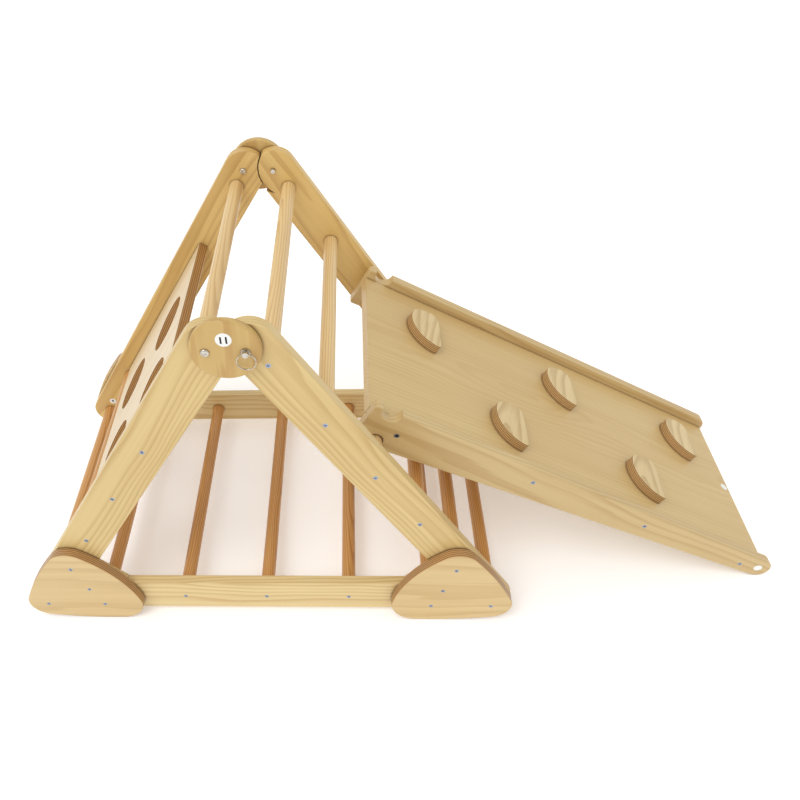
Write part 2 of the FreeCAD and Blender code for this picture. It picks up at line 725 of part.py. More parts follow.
for number, station in RIGHT_RUNGS.items():
    make_rung(f"right_rung_{number}", *leg_point(station, 1))
for place_name, station in LEFT_RUNGS.items():
    make_rung(f"left_{place_name}_rung", *leg_point(station, -1), drilled=place_name != "top")
for number, across in enumerate(BASE_RUNGS, start=1):
    make_rung(f"base_rung_{number}", across, BASE)

make_climb_panel("left_climbing_panel")
make_ramp_panel("ramp_panel")
for number, (along, across) in HOLDS.items():
    make_hold(f"climbing_hold_{number}", along, across)

short_screw = screw_template("short_screw", "Sizes.screw_length")
long_screw = screw_template("long_screw", "Sizes.gusset_screw_length")

leg_spots = [leg_point(s, -1) for s in PANEL_SCREWS] + [leg_point(s, 1) for s in SCREWED_RUNGS]
base_spots = [(x, BASE) for x in RAIL_SCREWS]
rail_places = [place_across(x, z, f * OUTER, -f) for x, z in leg_spots + base_spots for _, f in SIDES]
make_screws("side_board_screws", short_screw, rail_places)

gusset_spots = [spot for _, hand in HANDS for spot in gusset_screw_spots(hand)[:3]]
make_screws("gusset_screws", long_screw,
            [place_across(x, z, f * PLATE_FACE, -f) for x, z in gusset_spots for _, f in SIDES])
block_spots = [gusset_screw_spots(hand)[3] for _, hand in HANDS]
make_screws("foot_block_screws", short_screw,
            [place_across(x, z, f * PLATE_FACE, -f) for x, z in block_spots for _, f in SIDES])

ramp_spots = [ramp_point(t, size["ramp_panel_top"] - THICK / 2) for t in RAMP_SCREWS]
make_screws("ramp_screws", short_screw,
            [place_across(x, z, -size["ramp_near"]) for x, z in ramp_spots]
            + [place_across(x, z, size["ramp_far"], -1) for x, z in ramp_spots])
lean = Rotation(Vector(0, 1, 0), size["ramp_angle"])
under_hold = [
    (*ramp_point(t + dt, size["ramp_panel_top"] - THICK), y + dy)
    for t, y in HOLDS.values() for dt, dy in HOLD_SCREW_SPOTS
]
make_screws("hold_screws", short_screw,
            [Placement(Vector(size["apex_shift"] + x, y, z), lean) for x, z, y in under_hold])

apex_label = place_across(size["pin_shift"], size["cheek_height"] + size["apex_label_rise"], -CHEEK_FACE, -1)
make_labels("apex_label", [(apex_label, "Sizes.label_diameter")])
leg_label = place_across(*LEG_LABEL, INNER, -1)
make_labels("leg_label", [(leg_label, "Sizes.small_label_diameter")])
rail_label = place_across(*ramp_point(*RAIL_LABEL), -size["ramp_near"], -1)
deck_x, deck_z = ramp_point(DECK_LABEL[0], size["ramp_panel_top"])
deck_label = Placement(Vector(size["apex_shift"] + deck_x, DECK_LABEL[1], deck_z), lean)
make_labels("ramp_labels", [(spot, "Sizes.small_label_diameter") for spot in (rail_label, deck_label)])

doc.recompute()
for item in doc.Objects:
    if "Invalid" in item.State or "Error" in item.State:
        raise RuntimeError(f"{item.Name} failed: {item.State}")

os.makedirs("parts", exist_ok=True)
box = FreeCAD.BoundBox()
for piece in pieces:
    shape = piece.Shape
    if shape.isNull() or not shape.isValid():
        raise RuntimeError(f"{piece.Label} has no valid shape")
    shape.exportStep(f"parts/{piece.Label}.step")
    box.add(shape.BoundBox)
    print(f"{piece.Label}: {len(shape.Solids)} solids, {shape.Volume / 1000:.1f} cm3")
print(f"{len(pieces)} pieces, box {box}")
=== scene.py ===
"""Looks of the wooden climbing triangle and its hook-on ramp, in metres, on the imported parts.

The boards, rungs, plates and ramp keep their own shapes and get varnished pine, plywood and dowel
finishes. The pull rings become split rings, and the round labels get their numbers.
"""

import logging
import math
from dataclasses import dataclass, field
from enum import Enum

import bmesh
import bpy
from mathutils import Matrix, Vector


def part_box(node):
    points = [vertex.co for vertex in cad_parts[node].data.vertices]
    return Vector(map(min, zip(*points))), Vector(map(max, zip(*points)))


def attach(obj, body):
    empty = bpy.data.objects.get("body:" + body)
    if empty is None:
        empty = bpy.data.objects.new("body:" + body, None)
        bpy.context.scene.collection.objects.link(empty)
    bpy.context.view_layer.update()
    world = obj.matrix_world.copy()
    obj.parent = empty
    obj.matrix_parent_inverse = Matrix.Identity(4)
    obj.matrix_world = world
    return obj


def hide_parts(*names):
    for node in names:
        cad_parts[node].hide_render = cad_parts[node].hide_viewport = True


LOG = logging.getLogger("climbing_triangle")

MM = 0.001
WELD = 0.001 * MM
LEG_RISE = 590.8
LEG_RUN = 375.8
LEG_SLOPE = math.degrees(math.atan2(LEG_RISE, LEG_RUN))
RAMP_SLOPE = 29.43
HOLD_GRAIN_TURN = -70.0

Colour = tuple[float, float, float]

# Figure of sawn wood: how far the pith sways and the rings wander, and features per metre of the
# wandering, the fibres and the streaks, along and across the grain.
PITH_SWAY = 0.09
RING_WANDER = 1.3
WANDER_SCALE = (1.6, 30.0, 30.0)
FIBRE_SCALE = (9.0, 700.0, 700.0)
STREAK_SCALE = (1.5, 55.0, 55.0)


class Grain(Enum):
    """Which way the fibres of a piece run, as a turn that brings them onto the X axis."""

    LEVEL = (0.0, 0.0, 0.0)
    LEFT_LEG = (0.0, LEG_SLOPE, 0.0)
    RIGHT_LEG = (0.0, -LEG_SLOPE, 0.0)
    RAMP = (0.0, -RAMP_SLOPE, 0.0)
    ACROSS = (0.0, 0.0, -90.0)
    UPRIGHT = (0.0, 90.0, 0.0)
    HOLD = (0.0, -RAMP_SLOPE, HOLD_GRAIN_TURN)


class PlyAxis(Enum):
    """Axis of the turned piece that its plies are stacked along."""

    SIDEWAYS = "Y"
    THROUGH = "Z"


def linear(red: int, green: int, blue: int) -> Colour:
    """Linear colour of an 8-bit screen colour.

    Args:
        red: red, 0 to 255.
        green: green, 0 to 255.
        blue: blue, 0 to 255.

    Returns:
        The three linear values.
    """
    parts = [value / 255 for value in (red, green, blue)]
    return tuple(v / 12.92 if v <= 0.04045 else ((v + 0.055) / 1.055) ** 2.4 for v in parts)


class NodeTree:
    """Short ways to add and join shader nodes in one tree."""

    def __init__(self, tree: bpy.types.NodeTree) -> None:
        """Keeps the tree that the nodes go into."""
        self.tree = tree

    def node(self, kind: str, **settings: object) -> bpy.types.Node:
        """Adds a node and sets its properties.

        Args:
            kind: the node's type, without the ShaderNode prefix.
            settings: properties by name.

        Returns:
            The new node.
        """
        made = self.tree.nodes.new(f"ShaderNode{kind}")
        for name, value in settings.items():
            setattr(made, name, value)
        return made

    def end_node(self, kind: str) -> bpy.types.Node:
        """Adds the input or output node of a group."""
        return self.tree.nodes.new(kind)

    def feed(self, socket: bpy.types.NodeSocket, value: object) -> None:
        """Joins a socket to an output, or sets it to a plain value."""
        if isinstance(value, bpy.types.NodeSocket):
            self.tree.links.new(value, socket)
        else:
            socket.default_value = value

    def math(self, operation: str, *values: object, clamp: bool = False) -> bpy.types.NodeSocket:
        """One arithmetic step on numbers.

        Args:
            operation: the Math node's operation.
            values: outputs or plain numbers.
            clamp: whether the result stays between 0 and 1.

        Returns:
            The output of the step.
        """
        made = self.node("Math", operation=operation, use_clamp=clamp)
        for socket, value in zip(made.inputs, values):
            self.feed(socket, value)
        return made.outputs[0]

    def span(self, value: object, low: float, high: float, to_low: float = 0.0,
             to_high: float = 1.0) -> bpy.types.NodeSocket:
        """Maps a range of values smoothly onto another.

        Args:
            value: the output to map.
            low: start of the range.
            high: end of the range.
            to_low: result at the start.
            to_high: result at the end.

        Returns:
            The mapped output.
        """
        made = self.node("MapRange", interpolation_type="SMOOTHSTEP")
        for socket, part in zip(made.inputs, (value, low, high, to_low, to_high)):
            self.feed(socket, part)
        return made.outputs[0]

    def blend(self, factor: object, first: object, second: object,
              mode: str = "MIX") -> bpy.types.NodeSocket:
        """Mixes two colours.

        Args:
            factor: output or number from 0 to 1.
            first: colour at 0.
            second: colour at 1.
            mode: the Mix node's blend type.

        Returns:
            The mixed colour.
        """
        made = self.node("Mix", data_type="RGBA", blend_type=mode)
        self.feed(made.inputs["Factor"], factor)
        self.feed(made.inputs["A"], self.colour(first))
        self.feed(made.inputs["B"], self.colour(second))
        return made.outputs["Result"]

    @staticmethod
    def colour(value: object) -> object:
        """Gives a plain three-part colour its alpha."""
        return (*value, 1.0) if isinstance(value, tuple) and len(value) == 3 else value

    def scaled(self, vector: object, scale: Colour) -> bpy.types.NodeSocket:
        """Stretches a vector by three factors.

        Args:
            vector: the output to stretch.
            scale: factor along each axis.

        Returns:
            The stretched vector.
        """
        made = self.node("VectorMath", operation="MULTIPLY")
        self.feed(made.inputs[0], vector)
        made.inputs[1].default_value = scale
        return made.outputs[0]

    def noise(self, vector: object, scale: float, detail: float = 2.0,
              roughness: float = 0.5) -> bpy.types.NodeSocket:
        """Noise value at a place.

        Args:
            vector: where the noise is read.
            scale: features per metre.
            detail: octaves.
            roughness: strength of the finer octaves.

        Returns:
            The noise value, 0 to 1.
        """
        made = self.node("TexNoise")
        self.feed(made.inputs["Vector"], vector)
        made.inputs["Scale"].default_value = scale
        made.inputs["Detail"].default_value = detail
        made.inputs["Roughness"].default_value = roughness
        return made.outputs[0]


@dataclass
class EffectLibrary:
    """Shader groups that several finishes share, each built once."""

    groups: dict[str, bpy.types.NodeTree] = field(default_factory=dict)

    def start(self, name: str, inputs: dict[str, tuple[str, object]],
              outputs: dict[str, str]) -> tuple[NodeTree, bpy.types.Node, bpy.types.Node]:
        """Begins a group with named sockets.

        Args:
            name: the group's name.
            inputs: socket type and default by name.
            outputs: socket type by name.

        Returns:
            The tree helper, the group's input node and its output node.
        """
        tree = bpy.data.node_groups.new(name, "ShaderNodeTree")
        for label, (kind, value) in inputs.items():
            socket = tree.interface.new_socket(label, in_out="INPUT", socket_type=f"NodeSocket{kind}")
            if value is not None:
                socket.default_value = value
        for label, kind in outputs.items():
            tree.interface.new_socket(label, in_out="OUTPUT", socket_type=f"NodeSocket{kind}")
        self.groups[name] = tree
        helper = NodeTree(tree)
        return helper, helper.end_node("NodeGroupInput"), helper.end_node("NodeGroupOutput")

    def place(self, helper: NodeTree, name: str, **values: object) -> bpy.types.Node:
        """Puts a shared group into a material.

        Args:
            helper: the material's tree.
            name: the group's name.
            values: outputs or plain values by socket name, with _ for a space.

        Returns:
            The group's node.
        """
        made = helper.node("Group")
        made.node_tree = self.groups[name]
        for label, value in values.items():
            socket = made.inputs[label.replace("_", " ")]
            helper.feed(socket, helper.colour(value) if socket.type == "RGBA" else value)
        return made

    def build(self) -> None:
        """Builds every shared group."""
        self.build_figure()
        self.build_plies()
        self.build_staves()

    def build_figure(self) -> None:
        """Growth rings, fibres, pores and slow colour drift of sawn wood, with fibres along X."""
        helper, given, out = self.start(
            "wood figure",
            {"Vector": ("Vector", None), "Light": ("Color", None), "Dark": ("Color", None),
             "Ring spacing": ("Float", 0.006), "Ring strength": ("Float", 0.5),
             "Pith": ("Vector", None), "Shift": ("Float", 0.0)},
            {"Color": "Color", "Height": "Float", "Roughness": "Float"})
        place = helper.node("VectorMath", operation="SUBTRACT")
        helper.feed(place.inputs[0], given.outputs["Vector"])
        helper.feed(place.inputs[1], given.outputs["Pith"])
        bow = helper.noise(helper.scaled(place.outputs[0], (1.0, 3.0, 3.0)), 2.2, 1.5)
        parts = helper.node("SeparateXYZ")
        helper.feed(parts.inputs[0], place.outputs[0])
        sway = helper.math("MULTIPLY_ADD", bow, PITH_SWAY, -PITH_SWAY / 2)
        side = helper.math("ADD", parts.outputs["Z"], sway)
        radius = helper.math("SQRT", helper.math("ADD", helper.math("POWER", side, 2.0),
                                                 helper.math("POWER", parts.outputs["Y"], 2.0)))
        wander = helper.noise(helper.scaled(place.outputs[0], WANDER_SCALE), 1.0, 3.0, 0.55)
        turns = helper.math("DIVIDE", radius, given.outputs["Ring spacing"])
        phase = helper.math("ADD", turns, helper.math("MULTIPLY", wander, RING_WANDER))
        saw = helper.math("FRACT", helper.math("ADD", phase, given.outputs["Shift"]))
        late = helper.math("MULTIPLY", helper.span(saw, 0.35, 0.9), helper.span(saw, 1.0, 0.93))
        fibre = helper.noise(helper.scaled(place.outputs[0], FIBRE_SCALE), 1.0, 2.0, 0.6)
        streak = helper.noise(helper.scaled(place.outputs[0], STREAK_SCALE), 1.0, 2.0, 0.5)
        drift = helper.noise(place.outputs[0], 3.0, 1.0)
        tone = helper.math("MULTIPLY", late, given.outputs["Ring strength"])
        tone = helper.math("ADD", tone, helper.math("MULTIPLY_ADD", streak, 0.55, -0.2))
        tone = helper.math("ADD", tone, helper.math("MULTIPLY_ADD", fibre, 0.3, -0.15))
        tone = helper.math("ADD", tone, helper.math("MULTIPLY_ADD", drift, 0.5, -0.2), clamp=True)
        colour = helper.blend(tone, given.outputs["Light"], given.outputs["Dark"])
        helper.feed(out.inputs["Color"], colour)
        pores = helper.math("MULTIPLY", fibre, 0.6)
        ridges = helper.math("MULTIPLY", late, 0.4)
        helper.feed(out.inputs["Height"], helper.math("ADD", pores, ridges))
        helper.feed(out.inputs["Roughness"], helper.math("MULTIPLY_ADD", fibre, 0.16, 0.36))

    def build_plies(self) -> None:
        """Light and dark plies where a cut edge shows, and where that is."""
        helper, given, out = self.start(
            "cut plies",
            {"Depth": ("Float", 0.0), "Facing": ("Float", 0.0), "Vector": ("Vector", None),
             "Ply": ("Float", 0.0018), "Light": ("Color", None), "Dark": ("Color", None)},
            {"Color": "Color", "Edge": "Float", "Height": "Float"})
        flat = helper.math("ABSOLUTE", given.outputs["Facing"])
        edge = helper.span(flat, 0.86, 0.6)
        rough = helper.noise(given.outputs["Vector"], 45.0, 3.0, 0.6)
        count = helper.math("DIVIDE", given.outputs["Depth"], given.outputs["Ply"])
        count = helper.math("ADD", count, helper.math("MULTIPLY_ADD", rough, 0.35, -0.17))
        wave = helper.math("SINE", helper.math("MULTIPLY", count, math.pi))
        layer = helper.span(wave, -0.25, 0.25)
        speck = helper.noise(given.outputs["Vector"], 900.0, 2.0, 0.7)
        tone = helper.math("ADD", helper.math("MULTIPLY", layer, 0.75),
                           helper.math("MULTIPLY_ADD", speck, 0.7, -0.25), clamp=True)
        colour = helper.blend(tone, given.outputs["Light"], given.outputs["Dark"])
        helper.feed(out.inputs["Color"], colour)
        helper.feed(out.inputs["Edge"], edge)
        helper.feed(out.inputs["Height"], helper.math("MULTIPLY", layer, edge))

    def build_staves(self) -> None:
        """Strips of a jointed panel: a shift and a tint for each, and the fine joint between them."""
        helper, given, out = self.start(
            "jointed staves",
            {"Across": ("Float", 0.0), "Width": ("Float", 0.08)},
            {"Shift": "Float", "Tint": "Float", "Joint": "Float"})
        count = helper.math("DIVIDE", given.outputs["Across"], given.outputs["Width"])
        number = helper.math("FLOOR", count)
        chance = helper.node("TexWhiteNoise", noise_dimensions="1D")
        helper.feed(chance.inputs["W"], number)
        near = helper.math("ABSOLUTE", helper.math("SUBTRACT", helper.math("FRACT", count), 0.5))
        helper.feed(out.inputs["Shift"], helper.math("MULTIPLY", chance.outputs["Value"], 7.3))
        helper.feed(out.inputs["Tint"], chance.outputs["Value"])
        helper.feed(out.inputs["Joint"], helper.span(near, 0.494, 0.499))


@dataclass(frozen=True)
class WoodFinish:
    """Varnished wood, solid or plywood, with its colours, the size of its figure and painted shade in its
    creases.
    """

    name: str
    light: Colour
    dark: Colour
    ring_spacing: float = 0.006
    ring_strength: float = 0.5
    pith_depth: float = 0.05
    ply_light: Colour | None = None
    ply_dark: Colour | None = None
    ply: float = 0.0018
    stave: float = 0.0
    bump: float = 0.12
    gloss: float = 0.0
    relief: float = 0.4 * MM
    edge_ease: float = 1.2 * MM
    # Painted shade in creases and at joins between parts: how far the ambient-occlusion darkening reaches,
    # how strongly it darkens, and the dark brown it blends towards.
    crease_shade_reach: float = 7.0 * MM
    crease_shade_depth: float = 0.75
    crease_shade_colour: Colour = (0.16, 0.075, 0.028)
    varnish: float = 0.18
    varnish_roughness: float = 0.28
    specular: float = 0.4

    def material(self, grain: Grain, seed: float, centre: Vector,
                 depth: PlyAxis = PlyAxis.SIDEWAYS) -> bpy.types.Material:
        """Makes the finish for one piece.

        Args:
            grain: which way its fibres run.
            seed: number that sets this piece's own figure.
            centre: middle of the piece, which the figure is laid out from.
            depth: axis that the plies are stacked along.

        Returns:
            The material.
        """
        made = bpy.data.materials.new(f"{self.name}_{seed:.0f}")
        made.use_nodes = True
        tree = NodeTree(made.node_tree)
        shader = made.node_tree.nodes["Principled BSDF"]
        place = tree.node("TexCoord")
        turn = tuple(math.radians(angle) for angle in grain.value)
        local = tree.node("Mapping", vector_type="POINT")
        tree.feed(local.inputs["Vector"], place.outputs["Object"])
        local.inputs["Rotation"].default_value = turn
        local.inputs["Location"].default_value = -(turned(turn) @ centre)
        facing = tree.node("Mapping", vector_type="NORMAL")
        tree.feed(facing.inputs["Vector"], place.outputs["Normal"])
        facing.inputs["Rotation"].default_value = turn
        local_parts = tree.node("SeparateXYZ")
        tree.feed(local_parts.inputs[0], local.outputs[0])
        facing_parts = tree.node("SeparateXYZ")
        tree.feed(facing_parts.inputs[0], facing.outputs[0])

        shift: object = (seed * 0.37) % 1.0
        light: object = self.light
        if self.stave:
            across = local_parts.outputs["Y" if depth is PlyAxis.THROUGH else "Z"]
            staves = EFFECTS.place(tree, "jointed staves", Across=across, Width=self.stave)
            shift = staves.outputs["Shift"]
            tint = tree.span(staves.outputs["Tint"], 0.0, 1.0, 0.0, 0.42)
            light = tree.blend(tint, self.light, self.mellow())
        pith = (0.11 * math.sin(seed * 2.1), self.pith_depth, 0.03 * math.sin(seed * 1.3))
        if depth is PlyAxis.THROUGH:
            pith = (pith[0], pith[2], self.pith_depth)
        figure = EFFECTS.place(tree, "wood figure", Vector=local.outputs[0], Light=light,
                               Dark=self.dark, Ring_spacing=self.ring_spacing,
                               Ring_strength=self.ring_strength, Pith=pith, Shift=shift)
        colour = figure.outputs["Color"]
        height = figure.outputs["Height"]
        if self.ply_light:
            plies = EFFECTS.place(tree, "cut plies", Depth=local_parts.outputs[depth.value],
                                  Facing=facing_parts.outputs[depth.value], Vector=local.outputs[0],
                                  Ply=self.ply, Light=self.ply_light, Dark=self.ply_dark)
            colour = tree.blend(plies.outputs["Edge"], colour, plies.outputs["Color"])
            height = tree.math("ADD", height, tree.math("MULTIPLY", plies.outputs["Height"], -0.8))
        if self.stave:
            joint = tree.math("MULTIPLY", staves.outputs["Joint"], 0.35)
            colour = tree.blend(joint, colour, self.dark)
        # Painted shade: the colour is darkened towards a dark brown where ambient occlusion finds nearby
        # surfaces, in creases and at joins between parts.
        crease_shade_ao = tree.node("AmbientOcclusion", samples=6)
        crease_shade_ao.inputs["Distance"].default_value = self.crease_shade_reach
        unshaded_part = tree.span(crease_shade_ao.outputs["AO"], 0.35, 0.85)
        colour = tree.blend(unshaded_part, tree.blend(self.crease_shade_depth, colour, self.crease_shade_colour), colour)
        eased = tree.node("Bevel", samples=4)
        eased.inputs["Radius"].default_value = self.edge_ease
        bump = tree.node("Bump")
        bump.inputs["Strength"].default_value = self.bump
        bump.inputs["Distance"].default_value = self.relief
        tree.feed(bump.inputs["Height"], height)
        tree.feed(bump.inputs["Normal"], eased.outputs[0])
        tree.feed(shader.inputs["Base Color"], colour)
        roughness = tree.math("SUBTRACT", figure.outputs["Roughness"], self.gloss)
        tree.feed(shader.inputs["Roughness"], roughness)
        tree.feed(shader.inputs["Normal"], bump.outputs[0])
        shader.inputs["Coat Weight"].default_value = self.varnish
        shader.inputs["Coat Roughness"].default_value = self.varnish_roughness
        shader.inputs["Specular IOR Level"].default_value = self.specular
        return made

    def mellow(self) -> Colour:
        """Colour between the light and the dark, for the deeper-toned strips."""
        return tuple((a * 2 + b) / 3 for a, b in zip(self.light, self.dark))


def turned(angles: tuple[float, float, float]) -> Matrix:
    """Rotation matrix of three angles about X, Y and Z in turn."""
    x, y, z = angles
    return Matrix.Rotation(z, 3, "Z") @ Matrix.Rotation(y, 3, "Y") @ Matrix.Rotation(x, 3, "X")


@dataclass(frozen=True)
class MetalFinish:
    """Plated steel with faint brushing and small spots of tarnish."""

    name: str
    colour: Colour
    tarnish: Colour
    roughness: float

    def material(self) -> bpy.types.Material:
        """Makes the finish.

        Returns:
            The material.
        """
        made = bpy.data.materials.new(self.name)
        made.use_nodes = True
        tree = NodeTree(made.node_tree)
        shader = made.node_tree.nodes["Principled BSDF"]
        place = tree.node("TexCoord").outputs["Object"]
        spots = tree.span(tree.noise(place, 240.0, 3.0, 0.6), 0.45, 0.75)
        brushing = tree.noise(tree.scaled(place, (900.0, 120.0, 900.0)), 1.0, 2.0)
        tree.feed(shader.inputs["Base Color"], tree.blend(spots, self.colour, self.tarnish))
        tree.feed(shader.inputs["Roughness"],
                  tree.math("MULTIPLY_ADD", brushing, 0.22, self.roughness - 0.08))
        bump = tree.node("Bump")
        bump.inputs["Strength"].default_value = 0.15
        bump.inputs["Distance"].default_value = 0.1 * MM
        tree.feed(bump.inputs["Height"], brushing)
        tree.feed(shader.inputs["Normal"], bump.outputs[0])
        shader.inputs["Metallic"].default_value = 1.0
        return made


@dataclass(frozen=True)
class PaperFinish:
    """Printed paper label or its ink."""

    name: str
    colour: Colour
    roughness: float = 0.55

    def material(self) -> bpy.types.Material:
        """Makes the finish.

        Returns:
            The material.
        """
        made = bpy.data.materials.new(self.name)
        made.use_nodes = True
        tree = NodeTree(made.node_tree)
        shader = made.node_tree.nodes["Principled BSDF"]
        place = tree.node("TexCoord").outputs["Object"]
        fibre = tree.noise(place, 1800.0, 3.0, 0.6)
        shade = tuple(value * 0.86 for value in self.colour)
        tree.feed(shader.inputs["Base Color"], tree.blend(tree.span(fibre, 0.3, 0.8), self.colour, shade))
        tree.feed(shader.inputs["Roughness"], tree.math("MULTIPLY_ADD", fibre, 0.2, self.roughness - 0.1))
        return made


EFFECTS = EffectLibrary()

PLY_LIGHT = linear(198, 158, 104)
PLY_DARK = linear(128, 84, 46)
BOARD = WoodFinish("pine_board", linear(219, 193, 134), linear(180, 142, 76), ring_spacing=0.0052,
                   ring_strength=0.36, pith_depth=0.05)
FAR_BOARD = WoodFinish("amber_pine_board", linear(220, 186, 116), linear(178, 134, 70), ring_spacing=0.0065,
                       ring_strength=0.42, pith_depth=0.05)
RAIL = WoodFinish("pine_rail", linear(226, 203, 148), linear(190, 154, 94), ring_spacing=0.006,
                  ring_strength=0.45, pith_depth=0.06)
RAMP_RAIL = WoodFinish("ramp_rail", linear(207, 181, 128), linear(172, 132, 76), ring_spacing=0.008,
                       ring_strength=0.35, pith_depth=0.07)
PLATE = WoodFinish("plywood_plate", linear(217, 190, 136), linear(184, 148, 90), ring_spacing=0.014,
                   ring_strength=0.3, pith_depth=0.12, ply_light=PLY_LIGHT, ply_dark=PLY_DARK)
CHEEK = WoodFinish("pine_cheek", linear(210, 180, 114), linear(172, 124, 60), ring_spacing=0.014,
                   ring_strength=0.35, pith_depth=0.1, stave=0.034)
HOLD = WoodFinish("plywood_hold", linear(222, 198, 146), linear(176, 142, 88), ring_spacing=0.008,
                  ring_strength=0.45, pith_depth=0.15, ply_light=linear(206, 172, 118), ply_dark=PLY_DARK)
DECK = WoodFinish("ramp_deck", linear(211, 184, 128), linear(186, 148, 88), ring_spacing=0.007,
                  ring_strength=0.2, pith_depth=0.09, stave=0.071)
CLIMB = WoodFinish("climb_panel", linear(226, 206, 170), linear(196, 164, 114), ring_spacing=0.012,
                   ring_strength=0.25, pith_depth=0.09, stave=0.093, ply_light=linear(186, 140, 82),
                   ply_dark=linear(126, 84, 42))
LADDER_DOWEL = WoodFinish("ladder_dowel", linear(230, 200, 144), linear(184, 138, 78),
                          ring_spacing=0.004, ring_strength=0.4, pith_depth=0.02, gloss=0.05)
# Own more orange colour of the base dowels, and painted shade on the lower ladder rungs that sit under the
# ramp.
AMBER_AND_SHADED_DOWEL = WoodFinish("amber_and_shaded_dowel", linear(212, 160, 96), linear(158, 102, 48),
                        ring_spacing=0.0035, ring_strength=0.5, pith_depth=0.018, gloss=0.05)
NICKEL = MetalFinish("bright_nickel", linear(206, 200, 190), linear(150, 138, 120), 0.26)
ZINC = MetalFinish("blue_zinc", linear(168, 178, 196), linear(120, 126, 134), 0.34)
PAPER = PaperFinish("label_paper", linear(244, 244, 240))
INK = PaperFinish("label_ink", linear(22, 20, 24), 0.6)


def dress(node: str, material: bpy.types.Material) -> None:
    """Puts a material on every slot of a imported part."""
    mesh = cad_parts[node].data
    if not mesh.materials:
        mesh.materials.append(material)
    for index in range(len(mesh.materials)):
        mesh.materials[index] = material
    LOG.info("dressed %s in %s", node, material.name)


def middle(node: str) -> Vector:
    """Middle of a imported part's box."""
    low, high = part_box(node)
    return (Vector(low) + Vector(high)) / 2


def finish_piece(mesh: bmesh.types.BMesh, name: str, body: str,
                 material: bpy.types.Material) -> bpy.types.Object:
    """Turns a finished mesh into a piece that rides on a body.

    Args:
        mesh: the bmesh, which is freed.
        name: the piece's name.
        body: the body that it rides on.
        material: its finish.

    Returns:
        The new object.
    """
    bmesh.ops.recalc_face_normals(mesh, faces=mesh.faces)
    data = bpy.data.meshes.new(name)
    mesh.to_mesh(data)
    mesh.free()
    for polygon in data.polygons:
        polygon.use_smooth = True
    data.materials.append(material)
    piece = bpy.data.objects.new(name, data)
    bpy.context.scene.collection.objects.link(piece)
    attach(piece, body)
    LOG.info("built %s on %s", name, body)
    return piece


@dataclass
class Triangle:
    """The standing triangle: legs, rails, gussets, foot blocks and apex cheeks."""

    seed: float = 1.0
    side_seeds: int = 10

    def dress(self) -> None:
        """Gives each board its own pine figure and each plate its plywood."""
        for number, (side, board) in enumerate((("near", BOARD), ("far", FAR_BOARD))):
            base = self.seed + number * self.side_seeds
            for offset, (hand, grain) in enumerate((("left", Grain.LEFT_LEG), ("right", Grain.RIGHT_LEG))):
                leg = f"{side}_{hand}_leg"
                dress(leg, board.material(grain, base + offset, middle(leg)))
                gusset = f"{side}_{hand}_gusset"
                dress(gusset, PLATE.material(Grain.LEVEL, base + 3 + offset, middle(gusset)))
                block = f"{side}_{hand}_foot_block"
                dress(block, RAIL.material(Grain.LEVEL, base + 5 + offset, middle(block)))
            rail = f"{side}_base_rail"
            dress(rail, RAIL.material(Grain.LEVEL, base + 7, middle(rail)))
            cheek = f"{side}_apex_cheek"
            dress(cheek, CHEEK.material(Grain.UPRIGHT, base + 8, middle(cheek)))


@dataclass
class Rungs:
    """All the dowels: right ladder, left side and base."""

    ladder_count: int = 6
    pale_count: int = 3
    seed: float = 30.0
    base_count: int = 5

    def names(self) -> list[tuple[str, WoodFinish]]:
        """Every dowel's name with its finish."""
        ladder = [f"right_rung_{number}" for number in range(1, self.ladder_count + 1)]
        left = [f"left_{place}_rung" for place in ("top", "lower", "foot")]
        base = [f"base_rung_{number}" for number in range(1, self.base_count + 1)]
        # The ladder rungs past the pale ones take the darker base-dowel finish as painted shade under the
        # ramp; the base dowels carry it as their own more orange colour, and the lower left rungs take it
        # too.
        pale = ladder[:self.pale_count] + left[:1]
        amber_and_shaded = ladder[self.pale_count:] + left[1:] + base
        return [(name, LADDER_DOWEL) for name in pale] + [(name, AMBER_AND_SHADED_DOWEL) for name in amber_and_shaded]

    def dress(self) -> None:
        """Gives each dowel its own figure along its length."""
        for number, (name, finish) in enumerate(self.names()):
            dress(name, finish.material(Grain.ACROSS, self.seed + number, middle(name)))


@dataclass
class ClimbingPanel:
    """Climbing panel on the left side of the triangle."""

    node: str = "left_climbing_panel"
    seed: float = 50.0

    def dress(self) -> None:
        """Gives the panel its light jointed face and its dark cut edge."""
        wood = CLIMB.material(Grain.LEFT_LEG, self.seed, middle(self.node), PlyAxis.THROUGH)
        dress(self.node, wood)


@dataclass
class Ramp:
    """The hook-on ramp with its rails and climbing holds."""

    hold_count: int = 5
    deck_seed: float = 60.0
    rail_seed: float = 61.0
    hold_seed: float = 63.0

    def dress(self) -> None:
        """Gives the deck, the rails and each hold its wood."""
        deck = "ramp_panel"
        dress(deck, DECK.material(Grain.RAMP, self.deck_seed, middle(deck), PlyAxis.THROUGH))
        for number, side in enumerate(("near", "far")):
            rail = f"{side}_ramp_rail"
            dress(rail, RAMP_RAIL.material(Grain.RAMP, self.rail_seed + number, middle(rail)))
        for number in range(1, self.hold_count + 1):
            hold = f"climbing_hold_{number}"
            wood = HOLD.material(Grain.HOLD, self.hold_seed + number, middle(hold), PlyAxis.THROUGH)
            dress(hold, wood)


